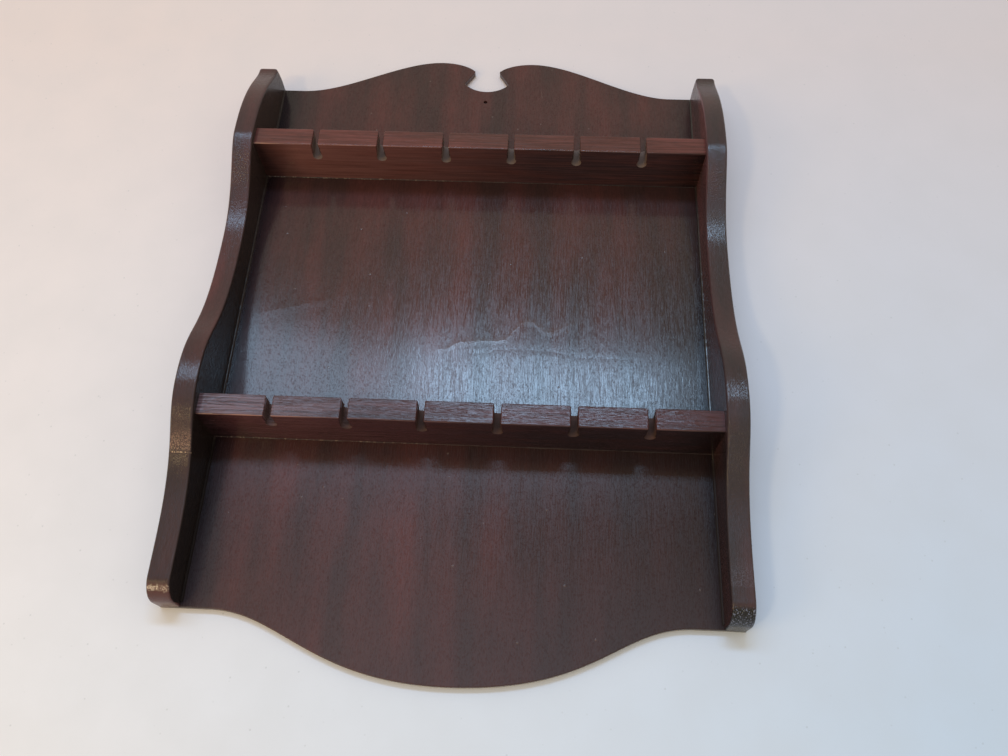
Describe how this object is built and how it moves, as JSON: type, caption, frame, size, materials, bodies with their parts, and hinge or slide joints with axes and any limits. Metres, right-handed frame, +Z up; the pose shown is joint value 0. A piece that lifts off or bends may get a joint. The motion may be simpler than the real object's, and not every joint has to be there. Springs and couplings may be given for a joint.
{
  "type": "spoon rack",
  "caption": "Wall rack for collector's spoons: scalloped back panel with a hooked hanging notch, wavy sides and two slotted rails.",
  "frame": {"origin": "where the axis of the hanging hole meets the wall plane", "axes": "+Z up, -Y out of the rack's front, +X to the right seen from the front"},
  "size_m": [0.235, 0.0338, 0.3204],
  "materials": {
    "panel_veneer": "dark red-brown mahogany veneer, glossy varnish",
    "side_wood": "dark red-brown mahogany, glossy varnish",
    "rail_wood": "dark red-brown mahogany, glossy varnish",
    "brad_steel": "dull bright steel"
  },
  "bodies": {
    "root": {"back_panel": "panel_veneer", "left_side": "side_wood", "right_side": "side_wood", "upper_rail": "rail_wood", "lower_rail": "rail_wood", "upper_rail_left_brads": "brad_steel", "upper_rail_right_brads": "brad_steel", "lower_rail_left_brads": "brad_steel", "lower_rail_right_brads": "brad_steel", "upper_rail_back_brads": "brad_steel", "lower_rail_back_brads": "brad_steel", "left_side_back_brads": "brad_steel", "right_side_back_brads": "brad_steel"}
  },
  "joints": []
}
